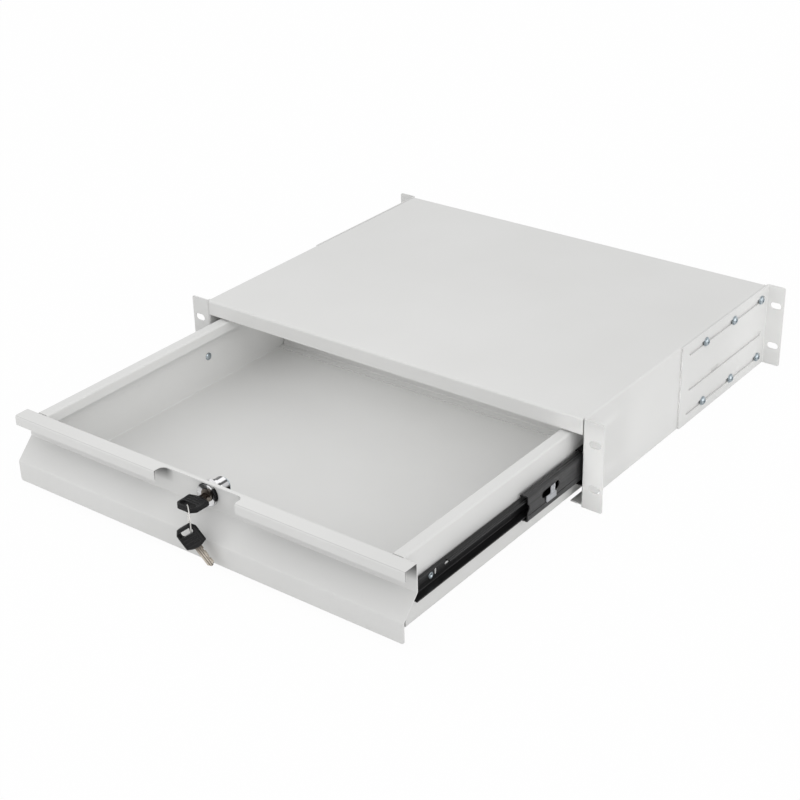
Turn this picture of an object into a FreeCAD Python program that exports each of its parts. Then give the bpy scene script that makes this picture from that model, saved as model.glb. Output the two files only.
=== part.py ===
import FreeCAD, Part
import math
import os

# Sliding rack drawer, two rack units high, in millimetres.
# X runs to the right, Y to the back and Z up. The origin is the centre of the four front ear slots,
# on the rear face of the ears, which lies against the rack. The drawer is modelled partly open.

# Rack standard
rack_width = 482.6
rack_slot_span = 465.1
rack_slot_pitch = 44.45
unit_height = 88.1
ear_slot_length = 12.0
ear_slot_width = 7.0
ear_corner_radius = 2.0

# Sheet metal
cover_gauge = 1.2
tray_gauge = 1.2
bracket_gauge = 1.5
bend_radius = 1.0
sliding_gap = 0.1
seam_gap = 0.5

# Housing cover
cover_width = 442.0
cover_depth = 346.0
cover_flange = 13.7
cover_lip = 15.5

# Telescopic slides
slide_height = 35.0
slide_space = 12.7
slide_length = 300.0
slide_setback = 2.0
slide_centre_height = 37.2
slide_gauge = 1.2
slide_bend = 0.8
housing_member_depth = 9.2
middle_member_height = 25.4
middle_member_inset = 2.2
middle_member_depth = 8.7
drawer_member_height = 15.8
drawer_member_depth = 8.4
member_hook = 2.2
ball_diameter = 3.7
outer_ball_inset = 6.0
inner_ball_inset = 6.5
groove_depth = 0.25
groove_radius = 2.15
outer_balls_in_row = 4
inner_balls_in_row = 3
ball_pitch = 22.0
cage_margin = 6.0
cage_gauge = 0.5
cage_bend = 0.3
cage_play = 0.22
cage_rim = 0.45
cage_pocket_clearance = 0.15
ball_sides = 12
ball_bands = 6

# Slide travel
drawer_opening = 239.0
middle_travel = 85.0
outer_cage_place = 100.0
inner_cage_place = 148.5

# Slide fixings
slide_rivet_radius = 2.0
slide_rivet_head_radius = 4.0
slide_rivet_head_height = 1.6
slide_rivet_tail_radius = 3.0
slide_rivet_tail_height = 0.7
slide_rivet_front = 27.5
slide_rivet_rear = 216.0
member_front_depth = 4.4
member_front_length = 44.0
member_upright_slot = 35.0
member_long_slot = 50.5
member_slot_length = 7.0
member_slot_width = 3.4
locating_tab_length = 13.0
locating_tab_height = 4.0
locating_tab_place = 234.0
tab_clearance = 0.2

# Slide catch
catch_window_length = 17.0
catch_window_height = 7.5
catch_window_place = 22.0
catch_window_rise = 2.9
catch_hole_radius = 4.0
catch_hole_place = 45.2
catch_gauge = 0.6
catch_neck_front = 34.0
catch_neck_rear = 41.2
catch_neck_top = 6.9
catch_foot_front = 27.5
catch_foot_rear = 43.5
catch_foot_top = -0.2
catch_foot_bottom = -6.9
catch_foot_cut = 1.8
catch_pivot_place = 37.5
catch_pivot_rise = -3.6
catch_pivot_radius = 1.5
catch_head_radius = 2.6
catch_head_height = 0.45
catch_clearance = 0.05
front_notch_radius = 4.2
front_notch_place = -1.4
front_notch_rise = 1.0
middle_band_height = 12.6
middle_band_depth = 0.3

# Tray
tray_depth = 334.4
tray_base_height = 4.3
tray_top_height = 70.6
tray_flange = 12.0
tray_lip = 10.5
tray_foot = 10.0
tray_front_height = 68.0

# Front panel
panel_gauge = 1.2
panel_width = 439.2
panel_bottom_height = 4.8
skirt_height = 20.0
slope_height = 18.8
skirt_projection = 18.2
ledge_projection = 16.3
ledge_lip = 9.8
finger_cut_width = 92.0
finger_cut_strip = 5.0
finger_cut_radius = 6.0
panel_corner_radius = 2.5
panel_gap = 1.0

# Rear brackets
bracket_length = 178.5
bracket_rear = 349.9
bracket_inset = 0.6
bracket_corner_radius = 2.0
bracket_screw_first = 218.0
bracket_screw_pitch = 58.0
bracket_screw_count = 3
bracket_screw_offset = 31.8
bracket_screw_radius = 2.0
fastener_sides = 12
bracket_slot_width = 4.6
bracket_slot_front = 185.0
bracket_slot_rear = 342.0
bracket_window_width = 5.8
bracket_window_drop = 6.0
washer_radius = 4.6
washer_gauge = 0.8
screw_head_radius = 3.9
screw_head_height = 2.2
press_nut_across_flats = 8.0
press_nut_length = 4.0
screw_bore_clearance = 0.05
screw_reach = 8.0

# Cam lock
lock_across = 2.5
lock_height = 57.5
barrel_radius = 9.5
barrel_flat = 8.2
barrel_length = 18.5
barrel_flats_length = 9.0
barrel_end_chamfer = 1.0
bezel_radius = 11.0
bezel_height = 3.6
bezel_recess = 1.2
plug_radius = 6.0
plug_clearance = 0.05
plug_tail_radius = 3.6
lock_nut_across_flats = 22.0
lock_nut_thickness = 3.6
lock_notch_radius = 13.4
cam_width = 12.0
cam_gauge = 1.8
cam_reach = 26.5
cam_crank = 12.5
cam_crank_start = 14.5
cam_screw_radius = 1.5
cam_screw_head_radius = 3.8
cam_screw_head_height = 2.4
keyway_width = 2.3
keyway_height = 8.0

# Keys
blade_thickness = 1.9
blade_width = 7.0
blade_length = 19.6
blade_shown = 5.5
blade_in_bow = 9.0
bow_width = 23.0
bow_length = 21.6
bow_thickness = 5.0
bow_tab_length = 8.6
bow_end_sag = 2.4
bow_corner_cut = 4.6
bow_edge_cut = 0.5
ring_slot_length = 17.0
ring_slot_width = 4.8
ring_slot_inset = 5.8
ring_radius = 11.4
ring_wire_radius = 0.6
wire_sides = 8
ring_turn_deg = -40.0
ring_from_key = 4.8
ring_from_end = 0.8
ring_rise = 0.95
spare_turn_deg = 14.0
spare_tilt_deg = 38.0
spare_slot_end = 4.2
spare_rise = 1.68

# Worked out from the values above
base = -unit_height / 2
top = unit_height / 2
cover_half = cover_width / 2
wall_inside = cover_half - cover_gauge
fold = bend_radius + cover_gauge
tray_half = wall_inside - slide_space
tray_base = base + tray_base_height
tray_top = base + tray_top_height
panel_rear = -cover_gauge - panel_gap - drawer_opening
panel_front = panel_rear - panel_gauge
tray_rear = panel_rear + tray_depth
slide_z = base + slide_centre_height
lock_z = base + lock_height

X = FreeCAD.Vector(1, 0, 0)
Y = FreeCAD.Vector(0, 1, 0)
Z = FreeCAD.Vector(0, 0, 1)
ORIGIN = FreeCAD.Vector(0, 0, 0)
TINY = 0.001
OVERCUT = 1.0


def point(x, y, z):
    return FreeCAD.Vector(x, y, z)


def block(x0, x1, y0, y1, z0, z1):
    return Part.makeBox(x1 - x0, y1 - y0, z1 - z0, point(x0, y0, z0))


def rod(radius, start, axis, length):
    return Part.makeCylinder(radius, length, start, axis)


def mirrored(shape):
    return shape.mirror(ORIGIN, X)


def joined(shapes):
    result = shapes[0]
    if len(shapes) > 1:
        result = result.multiFuse(shapes[1:])
    return result.removeSplitter()


def obround(centre, along, through, length, width, depth):
    """A long hole's cutter: straight sides, half-round ends, centred on a point."""
    across = through.cross(along)
    reach = along * ((length - width) / 2)
    side = across * (width / 2)
    tip = along * (length / 2)
    start = centre - through * (depth / 2)
    corners = [start - reach + side, start + reach + side, start + reach - side, start - reach - side]
    edges = [
        Part.LineSegment(corners[0], corners[1]).toShape(),
        Part.Arc(corners[1], start + tip, corners[2]).toShape(),
        Part.LineSegment(corners[2], corners[3]).toShape(),
        Part.Arc(corners[3], start - tip, corners[0]).toShape(),
    ]
    return Part.Face(Part.Wire(edges)).extrude(through * depth)


def prism_end(points):
    return Part.Face(Part.makePolygon(points + [points[0]]))


def prism(points, through):
    """A closed outline of 3-D points, pushed along a vector."""
    return prism_end(points).extrude(through)


def even_bar(centre, across, up, corner_radius, sides, thickness):
    """A bar of equal flat sides, as thick as given towards across x up."""
    corners = []
    for step in range(sides):
        angle = 2 * math.pi * step / sides
        corners.append(centre + across * (corner_radius * math.cos(angle)) + up * (corner_radius * math.sin(angle)))
    return prism(corners, across.cross(up) * thickness)


def hexagon(centre, across, up, across_flats, thickness):
    return even_bar(centre, across, up, across_flats / math.sqrt(3), 6, thickness)


def shank(radius, start, axis, length):
    """A small fastener's round part or its hole, drawn with few sides."""
    across, up = (Y, Z) if axis == X else (Z, X)
    return even_bar(start, across, up, radius, fastener_sides, length)


def crowned(head, axis, place, drop):
    """A fastener's head with the edges of its crown cut off."""
    rims = [edge for edge in head.Edges if abs(edge.CenterOfMass.dot(axis) - place) < TINY]
    return head.makeChamfer(drop, rims)


def round_edges(shape, radius, chosen):
    edges = [edge for edge in shape.Edges if chosen(edge)]
    return shape.makeFillet(radius, edges)


def runs_along(edge, axis):
    ends = edge.Vertexes
    if len(ends) < 2 or edge.Curve.TypeId != "Part::GeomLine":
        return False
    way = ends[1].Point - ends[0].Point
    return way.Length > TINY and abs(abs(way.normalize().dot(axis)) - 1) < TINY


def direction(a, b):
    run = math.hypot(b[0] - a[0], b[1] - a[1])
    return ((b[0] - a[0]) / run, (b[1] - a[1]) / run)


def parallel_path(path, gauge):
    """The path's twin on its left, one sheet thickness away."""
    ways = [direction(a, b) for a, b in zip(path, path[1:])]
    lefts = [(-way[1], way[0]) for way in ways]
    twin = [(path[0][0] + lefts[0][0] * gauge, path[0][1] + lefts[0][1] * gauge)]
    for corner, before, after in zip(path[1:-1], lefts, lefts[1:]):
        share = gauge / (1 + before[0] * after[0] + before[1] * after[1])
        twin.append((corner[0] + (before[0] + after[0]) * share, corner[1] + (before[1] + after[1]) * share))
    twin.append((path[-1][0] + lefts[-1][0] * gauge, path[-1][1] + lefts[-1][1] * gauge))
    return twin


def straight(start, end, place):
    if math.hypot(end[0] - start[0], end[1] - start[1]) < TINY:
        return []
    return [Part.LineSegment(place(*start), place(*end)).toShape()]


def bent_edges(path, radii, place):
    """Straight runs joined by tangent arcs, one radius for each inner corner."""
    edges = []
    start = path[0]
    for before, corner, after, radius in zip(path, path[1:], path[2:], radii):
        way_in = direction(before, corner)
        way_out = direction(corner, after)
        turn = math.acos(max(-1, min(1, way_in[0] * way_out[0] + way_in[1] * way_out[1])))
        reach = radius * math.tan(turn / 2)
        first = (corner[0] - way_in[0] * reach, corner[1] - way_in[1] * reach)
        last = (corner[0] + way_out[0] * reach, corner[1] + way_out[1] * reach)
        inward = direction((0, 0), (way_out[0] - way_in[0], way_out[1] - way_in[1]))
        height = radius / math.cos(turn / 2) - radius
        middle = (corner[0] + inward[0] * height, corner[1] + inward[1] * height)
        edges += straight(start, first, place)
        edges.append(Part.Arc(place(*first), place(*middle), place(*last)).toShape())
        start = last
    return edges + straight(start, path[-1], place)


def folded_sheet(path, gauge, bend, place, through):
    """A sheet folded along a path, thick to the path's left, as long as the vector."""
    twin = parallel_path(path, gauge)
    near = []
    far = []
    for before, corner, after in zip(path, path[1:], path[2:]):
        way_in = direction(before, corner)
        way_out = direction(corner, after)
        turns_left = way_in[0] * way_out[1] - way_in[1] * way_out[0] > 0
        near.append(bend + gauge if turns_left else bend)
        far.append(bend if turns_left else bend + gauge)
    edges = bent_edges(path, near, place) + bent_edges(twin, far, place)
    edges.append(Part.LineSegment(place(*path[0]), place(*twin[0])).toShape())
    edges.append(Part.LineSegment(place(*path[-1]), place(*twin[-1])).toShape())
    wire = Part.Wire(Part.__sortEdges__(edges))
    return Part.Face(wire).extrude(through)


os.makedirs("parts", exist_ok=True)


def export(name, *solids):
    shape = solids[0] if len(solids) == 1 else Part.makeCompound(list(solids))
    shape.exportStep("parts/" + name + ".step")


def export_pair(name, right):
    export(name + "_right", *right)
    export(name + "_left", *[mirrored(solid) for solid in right])


# Places that several pieces share
def bracket_screw_points():
    heights = (-bracket_screw_offset, bracket_screw_offset)
    steps = range(bracket_screw_count)
    return [(bracket_screw_first + step * bracket_screw_pitch, z) for z in heights for step in steps]


def ear_slots(y, depth):
    cutters = []
    for side in (-1, 1):
        for level in (-1, 1):
            centre = point(side * rack_slot_span / 2, y, level * rack_slot_pitch / 2)
            cutters.append(obround(centre, X, Y, ear_slot_length, ear_slot_width, depth))
    return cutters


def rounded_ear(shape, radius):
    def outer_corner(edge):
        return runs_along(edge, Y) and abs(abs(edge.CenterOfMass.x) - rack_width / 2) < TINY

    return round_edges(shape, radius, outer_corner)


# Housing cover
def housing_cover():
    half = cover_half
    shell_path = [
        (half - cover_flange, base),
        (half, base),
        (half, top),
        (-half, top),
        (-half, base),
        (-half + cover_flange, base),
    ]
    shell = folded_sheet(
        shell_path, cover_gauge, bend_radius, lambda u, v: point(u, fold, v), Y * (cover_depth - fold)
    )
    rear_relief = block(
        -wall_inside + seam_gap,
        wall_inside - seam_gap,
        cover_depth - fold,
        cover_depth + OVERCUT,
        top - fold,
        top + OVERCUT,
    )
    shell = shell.cut(rear_relief)
    ear_path = [(rack_width / 2, 0), (half, 0), (half, fold)]
    ear = folded_sheet(
        ear_path, cover_gauge, bend_radius, lambda u, v: point(u, v, base), Z * unit_height
    )
    ear = rounded_ear(ear, ear_corner_radius)
    lip_half = wall_inside - seam_gap
    front_path = [(fold, top), (-cover_gauge, top), (-cover_gauge, top - cover_lip)]
    front_lip = folded_sheet(
        front_path, cover_gauge, bend_radius, lambda u, v: point(-lip_half, u, v), X * (2 * lip_half)
    )
    rear_path = [(cover_depth, top - cover_lip), (cover_depth, top), (cover_depth - fold, top)]
    rear_lip = folded_sheet(
        rear_path, cover_gauge, bend_radius, lambda u, v: point(-lip_half, u, v), X * (2 * lip_half)
    )
    cover = joined([shell, ear, mirrored(ear), front_lip, rear_lip])
    cutters = ear_slots(0, cover_gauge * 4)
    for side in (-1, 1):
        wall = side * (cover_half - cover_gauge / 2)
        for y, z in bracket_screw_points():
            start = point(wall - cover_gauge, y, z)
            cutters.append(shank(bracket_screw_radius + screw_bore_clearance, start, X, cover_gauge * 2))
        y = slide_setback + locating_tab_place
        half_height = locating_tab_height / 2 + tab_clearance
        cutters.append(
            block(
                wall - cover_gauge,
                wall + cover_gauge,
                y - tab_clearance,
                y + locating_tab_length + tab_clearance,
                slide_z - half_height,
                slide_z + half_height,
            )
        )
    return cover.cut(cutters)


# Rear bracket, adjustable in depth
def rear_bracket():
    inner = cover_half + sliding_gap
    low = base + bracket_inset
    height = unit_height - 2 * bracket_inset
    rear = bracket_rear
    path = [(rack_width / 2, rear - bracket_gauge), (inner + bracket_gauge, rear - bracket_gauge)]
    path.append((inner + bracket_gauge, rear - bracket_length))
    path.reverse()
    plate = folded_sheet(
        path, bracket_gauge, bend_radius, lambda u, v: point(u, v, low), Z * height
    )
    plate = rounded_ear(plate, ear_corner_radius)

    def front_corner(edge):
        return runs_along(edge, X) and abs(edge.CenterOfMass.y - (rear - bracket_length)) < TINY

    plate = round_edges(plate, bracket_corner_radius, front_corner)
    cutters = ear_slots(rear - bracket_gauge / 2, bracket_gauge * 2)
    slot_middle = (bracket_slot_front + bracket_slot_rear) / 2
    slot_length = bracket_slot_rear - bracket_slot_front
    wall = inner + bracket_gauge / 2
    for z in (-bracket_screw_offset, bracket_screw_offset):
        centre = point(wall, slot_middle, z)
        cutters.append(obround(centre, Y, X, slot_length, bracket_slot_width, bracket_gauge * 2))
    centre = point(wall, slot_middle, -bracket_window_drop)
    window_length = slot_length - bracket_slot_width
    cutters.append(obround(centre, Y, X, window_length, bracket_window_width, bracket_gauge * 2))
    return plate.cut(cutters)


def bracket_screw(y, z):
    """A pan head screw with its captive washer, from the bracket's face into the wall's nut."""
    face = cover_half + sliding_gap + bracket_gauge + sliding_gap
    washer = shank(washer_radius, point(face, y, z), X, washer_gauge)
    head = shank(screw_head_radius, point(face + washer_gauge, y, z), X, screw_head_height)
    thread = shank(bracket_screw_radius, point(face + TINY - screw_reach, y, z), X, screw_reach)
    return joined([washer, head, thread])


def press_nut(y, z):
    face = wall_inside - press_nut_length
    body = hexagon(point(face, y, z), Y, Z, press_nut_across_flats, press_nut_length)
    bore = shank(bracket_screw_radius + screw_bore_clearance, point(face - OVERCUT, y, z), X, press_nut_length * 2)
    return body.cut(bore)


# Telescopic slides, drawn for the right side
def member_sheet(outside, height, depth, hook, opens, y0):
    """A rolled channel: web on the plane x = outside, open to the side that opens points to."""
    half = height / 2
    rim = outside + opens * depth
    path = [(rim, -half), (outside, -half), (outside, half), (rim, half)]
    if hook:
        path = [(rim, -half + hook)] + path + [(rim, half - hook)]
    if opens > 0:
        path.reverse()
    return folded_sheet(
        path, slide_gauge, slide_bend, lambda u, v: point(u, y0, slide_z + v), Y * slide_length
    )


def raceway(face, away, inset, y0):
    """A round cutter that bites groove_depth into the face at that height."""
    centre = face + away * (groove_depth - groove_radius)
    start = point(wall_inside - inset, y0 - OVERCUT, slide_z + centre)
    return rod(groove_radius, start, Y, slide_length + 2 * OVERCUT)


def housing_member(y0):
    member = member_sheet(wall_inside, slide_height, housing_member_depth, member_hook, -1, y0)
    face = slide_height / 2 - slide_gauge
    member = member.cut([raceway(side * face, side, outer_ball_inset, y0) for side in (-1, 1)])
    tab_y = y0 + locating_tab_place
    half = locating_tab_height / 2
    tab = block(
        wall_inside - slide_gauge / 2,
        cover_half - sliding_gap,
        tab_y,
        tab_y + locating_tab_length,
        slide_z - half,
        slide_z + half,
    )
    return joined([member, tab])


def middle_member(y0):
    outside = wall_inside - middle_member_inset
    member = member_sheet(outside, middle_member_height, middle_member_depth, member_hook, -1, y0)
    outer = middle_member_height / 2
    inner = outer - slide_gauge
    cutters = [raceway(side * outer, -side, outer_ball_inset, y0) for side in (-1, 1)]
    cutters += [raceway(side * inner, side, inner_ball_inset, y0) for side in (-1, 1)]
    web = outside - slide_gauge / 2
    window = point(web, y0 + catch_window_place + catch_window_length / 2, slide_z + catch_window_rise)
    cutters.append(obround(window, Y, X, catch_window_length, catch_window_height, slide_gauge * 2))
    for radius, place, rise in (
        (catch_hole_radius, catch_hole_place, catch_window_rise),
        (catch_pivot_radius + catch_clearance, catch_pivot_place, catch_pivot_rise),
        (front_notch_radius, front_notch_place, front_notch_rise),
    ):
        start = point(web - slide_gauge, y0 + place, slide_z + rise)
        cutters.append(rod(radius, start, X, slide_gauge * 2))
    half_band = middle_band_height / 2
    cutters.append(
        block(
            outside - middle_band_depth,
            outside + OVERCUT,
            y0 - OVERCUT,
            y0 + slide_length + OVERCUT,
            slide_z - half_band,
            slide_z + half_band,
        )
    )
    return member.cut(cutters)


def slide_catch(y0):
    """A flat L-shaped lever outside the web, on a pin that goes through to a head inside the member."""
    web_outside = wall_inside - middle_member_inset
    web_inside = web_outside - slide_gauge
    outline = [
        (catch_neck_front, catch_neck_top),
        (catch_neck_rear, catch_neck_top),
        (catch_neck_rear, catch_foot_top),
        (catch_foot_rear, catch_foot_top - catch_foot_cut),
        (catch_foot_rear, catch_foot_bottom),
        (catch_foot_front + catch_foot_cut, catch_foot_bottom),
        (catch_foot_front, catch_foot_bottom + catch_foot_cut),
        (catch_foot_front, catch_foot_top),
        (catch_neck_front, catch_foot_top),
    ]
    face = web_outside + catch_clearance
    lever = prism([point(face, y0 + y, slide_z + z) for y, z in outline], X * catch_gauge)
    pivot_y = y0 + catch_pivot_place
    pivot_z = slide_z + catch_pivot_rise
    head_start = point(web_inside - catch_clearance - catch_head_height, pivot_y, pivot_z)
    head = rod(catch_head_radius, head_start, X, catch_head_height)
    pin = rod(catch_pivot_radius, head_start, X, face + catch_gauge / 2 - head_start.x)
    return joined([lever, pin, head])


def drawer_member(y0):
    member = member_sheet(tray_half, drawer_member_height, drawer_member_depth, 0, 1, y0)
    outer = drawer_member_height / 2
    cutters = [raceway(side * outer, -side, inner_ball_inset, y0) for side in (-1, 1)]
    web = tray_half + slide_gauge / 2
    for place in (slide_rivet_front, slide_rivet_rear):
        start = point(web - slide_gauge, y0 + place, slide_z)
        cutters.append(shank(slide_rivet_radius + screw_bore_clearance, start, X, slide_gauge * 2))
    for place, along in ((member_upright_slot, Z), (member_long_slot, Y)):
        centre = point(web, y0 + place, slide_z)
        cutters.append(obround(centre, along, X, member_slot_length, member_slot_width, slide_gauge * 2))
    narrowed = tray_half + member_front_depth
    cutters.append(
        block(narrowed, wall_inside, y0 - OVERCUT, y0 + member_front_length, slide_z, slide_z + drawer_member_height)
    )
    return member.cut(cutters)


def slide_rivet(y):
    """Bevelled head inside the tray, shank through wall and member, flat tail in the member."""
    inside = tray_half - tray_gauge
    crown = inside - slide_rivet_head_height
    head = shank(slide_rivet_head_radius, point(crown, y, slide_z), X, slide_rivet_head_height)
    head = crowned(head, X, crown, slide_rivet_head_height / 2)
    web_end = tray_half + slide_gauge
    stem = shank(slide_rivet_radius, point(inside - TINY, y, slide_z), X, web_end - inside + 2 * TINY)
    tail = shank(slide_rivet_tail_radius, point(web_end, y, slide_z), X, slide_rivet_tail_height)
    return joined([head, stem, tail])


def ball_points(inset, height, count, y0):
    x = wall_inside - inset
    rows = [(slide_z + side * height) for side in (-1, 1)]
    return [point(x, y0 + cage_margin + step * ball_pitch, z) for z in rows for step in range(count)]


def ball_cage(inset, height, count, web_outside, y0):
    """A thin channel whose flanges hold the balls of both rows at an even pitch."""
    length = 2 * cage_margin + (count - 1) * ball_pitch
    pocket = ball_diameter / 2 + cage_pocket_clearance
    rim = wall_inside - inset - pocket - cage_rim
    half = height + cage_gauge / 2
    path = [(rim, -half), (web_outside, -half), (web_outside, half), (rim, half)]
    cage = folded_sheet(
        path, cage_gauge, cage_bend, lambda u, v: point(u, y0, slide_z + v), Y * length
    )
    pockets = []
    for centre in ball_points(inset, height, count, y0):
        x, y, z = centre
        pockets.append(block(x - pocket, x + pocket, y - pocket, y + pocket, z - cage_gauge, z + cage_gauge))
    return cage.cut(pockets)


def ball(centre):
    """A ball of flat faces between its circles of latitude."""
    radius = ball_diameter / 2
    rings = []
    for band in range(1, ball_bands):
        latitude = math.pi * band / ball_bands
        ring = []
        for step in range(ball_sides):
            longitude = 2 * math.pi * step / ball_sides
            across = radius * math.sin(latitude)
            ring.append(
                centre
                + X * (across * math.cos(longitude))
                + Z * (across * math.sin(longitude))
                + Y * (radius * math.cos(latitude))
            )
        rings.append(ring)
    faces = [prism_end(rings[0]), prism_end(rings[-1])]
    for near, far in zip(rings, rings[1:]):
        for step in range(ball_sides):
            after = (step + 1) % ball_sides
            faces.append(prism_end([near[step], near[after], far[after], far[step]]))
    return Part.Solid(Part.Shell(faces))


def balls(inset, height, count, y0):
    return [ball(centre) for centre in ball_points(inset, height, count, y0)]


# Tray
def drawer_tray():
    half = tray_half
    rim = half - tray_flange
    low = tray_top - tray_lip
    shell_path = [
        (-rim, low),
        (-rim, tray_top),
        (-half, tray_top),
        (-half, tray_base),
        (half, tray_base),
        (half, tray_top),
        (rim, tray_top),
        (rim, low),
    ]
    shell = folded_sheet(
        shell_path, tray_gauge, bend_radius, lambda u, v: point(u, panel_rear, v), Y * tray_depth
    )
    inside = half - tray_gauge - seam_gap
    rear_rim = tray_rear - tray_flange
    reliefs = [
        block(-inside, inside, panel_rear - OVERCUT, panel_rear + fold, tray_base - OVERCUT, tray_base + fold),
        block(-inside, inside, tray_rear - fold, tray_rear + OVERCUT, tray_top - fold, tray_top + OVERCUT),
    ]
    for side in (-1, 1):
        edges = sorted((side * (rim - OVERCUT), side * (rim + fold)))
        reliefs.append(block(*edges, rear_rim + tray_gauge, tray_rear + OVERCUT, low - OVERCUT, tray_top - tray_gauge))
    shell = shell.cut(reliefs)
    front_top = tray_base - tray_base_height + tray_front_height
    front_path = [(panel_rear, front_top), (panel_rear, tray_base), (panel_rear + fold, tray_base)]
    front = folded_sheet(
        front_path, tray_gauge, bend_radius, lambda u, v: point(-inside, u, v), X * (2 * inside)
    )
    notch = rod(lock_notch_radius, point(lock_across, panel_rear - OVERCUT, lock_z), Y, tray_gauge + 2 * OVERCUT)
    slot = block(
        lock_across - lock_notch_radius,
        lock_across + lock_notch_radius,
        panel_rear - OVERCUT,
        panel_rear + tray_gauge + OVERCUT,
        lock_z,
        tray_top + OVERCUT,
    )
    front = front.cut([notch, slot])
    tray = joined([shell, front])
    bores = []
    for side in (-1, 1):
        wall = side * (half - tray_gauge / 2)
        for place in (slide_rivet_front, slide_rivet_rear):
            start = point(wall - tray_gauge, drawer_slide_y + place, slide_z)
            bores.append(shank(slide_rivet_radius + screw_bore_clearance, start, X, tray_gauge * 2))
    return tray.cut(bores)


def tray_rear_wall():
    """A sheet of its own: it stands on the tray's floor and its lip lies between the side flanges."""
    width = tray_half - tray_gauge - bend_radius
    floor_top = tray_base + tray_gauge
    rear_rim = tray_rear - tray_flange
    path = [
        (tray_rear - tray_foot, floor_top),
        (tray_rear, floor_top),
        (tray_rear, tray_top),
        (rear_rim, tray_top),
        (rear_rim, tray_top - tray_lip),
    ]
    wall = folded_sheet(path, tray_gauge, bend_radius, lambda u, v: point(-width, u, v), X * (2 * width))
    ends = []
    for side in (-1, 1):
        edges = sorted((side * (tray_half - tray_flange - seam_gap), side * tray_half))
        ends.append(
            block(*edges, rear_rim - OVERCUT, tray_rear - fold, tray_top - tray_lip - OVERCUT, tray_top + OVERCUT)
        )
    return wall.cut(ends)


# Front panel
def front_panel():
    half = panel_width / 2
    lip_inside = panel_rear - ledge_projection + panel_gauge
    ledge_under = tray_top - panel_gauge
    bottom = base + panel_bottom_height
    skirt_front = panel_front - skirt_projection
    path = [
        (lip_inside, tray_top - ledge_lip),
        (lip_inside, ledge_under),
        (panel_front, ledge_under),
        (panel_front, bottom + skirt_height + slope_height),
        (skirt_front, bottom + skirt_height),
        (skirt_front, bottom),
    ]
    panel = folded_sheet(
        path, panel_gauge, bend_radius, lambda u, v: point(-half, u, v), X * panel_width
    )

    def lower_corner(edge):
        return runs_along(edge, Y) and abs(edge.CenterOfMass.z - bottom) < TINY

    panel = round_edges(panel, panel_corner_radius, lower_corner)
    cut_half = finger_cut_width / 2
    cutter = block(
        -cut_half,
        cut_half,
        lip_inside - panel_gauge - OVERCUT,
        panel_rear - finger_cut_strip,
        tray_top - ledge_lip - OVERCUT,
        tray_top + OVERCUT,
    )

    def inner_corner(edge):
        return runs_along(edge, Z) and abs(edge.CenterOfMass.y - (panel_rear - finger_cut_strip)) < TINY

    cutter = round_edges(cutter, finger_cut_radius, inner_corner)
    lock_hole = double_d(barrel_radius + seam_gap / 2, barrel_flat + seam_gap / 2, panel_front - OVERCUT, panel_gauge * 3)
    return panel.cut([cutter, lock_hole])


# Cam lock
def double_d(radius, flat, y, length):
    """A round bar on the lock's axis with two upright flats."""
    bar = rod(radius, point(lock_across, y, lock_z), Y, length)
    box = block(
        lock_across - flat, lock_across + flat, y - OVERCUT, y + length + OVERCUT, lock_z - radius, lock_z + radius
    )
    return bar.common(box)


bezel_front = panel_front - bezel_height
barrel_rear = panel_front + barrel_length


def lock_barrel():
    axis_point = point(lock_across, bezel_front, lock_z)
    bezel = rod(bezel_radius, axis_point, Y, bezel_height)
    front_edge = min(bezel.Edges, key=lambda edge: edge.CenterOfMass.y)
    bezel = bezel.makeChamfer(bezel_recess / 2, [front_edge])
    dish = Part.makeCone(bezel_radius - bezel_recess, plug_radius, bezel_recess, axis_point, Y)
    flats = double_d(barrel_radius, barrel_flat, panel_front, barrel_flats_length)
    tail = rod(barrel_flat, point(lock_across, panel_front, lock_z), Y, barrel_length)
    tail = tail.makeChamfer(barrel_end_chamfer, [max(tail.Edges, key=lambda edge: edge.CenterOfMass.y)])
    bore = rod(plug_radius + plug_clearance, axis_point - Y, Y, bezel_height + barrel_length + 2 * OVERCUT)
    return joined([bezel, flats, tail]).cut([dish, bore])


def lock_nut():
    nut = hexagon(point(lock_across, panel_rear, lock_z), Z, X, lock_nut_across_flats, lock_nut_thickness)
    hole = double_d(barrel_radius + plug_clearance, barrel_flat + plug_clearance, panel_rear - OVERCUT, lock_nut_thickness * 2)
    return nut.cut(hole)


def square_bar(side, y, length):
    half = side / 2
    return block(lock_across - half, lock_across + half, y, y + length, lock_z - half, lock_z + half)


cam_seat = barrel_rear + sliding_gap
tail_side = plug_tail_radius * math.sqrt(2)


def lock_plug():
    front = bezel_front + bezel_recess / 2
    plug = rod(plug_radius, point(lock_across, front, lock_z), Y, cam_seat - front)
    tail = square_bar(tail_side, cam_seat - TINY, cam_gauge)
    half_width = keyway_height / 2
    half_gap = keyway_width / 2
    keyway = block(
        lock_across - half_width,
        lock_across + half_width,
        front - OVERCUT,
        key_tip + seam_gap,
        lock_z - half_gap,
        lock_z + half_gap,
    )
    bore = rod(cam_screw_radius + plug_clearance, point(lock_across, cam_seat, lock_z), Y, cam_gauge + OVERCUT)
    return joined([plug, tail]).cut([keyway, bore])


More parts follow.
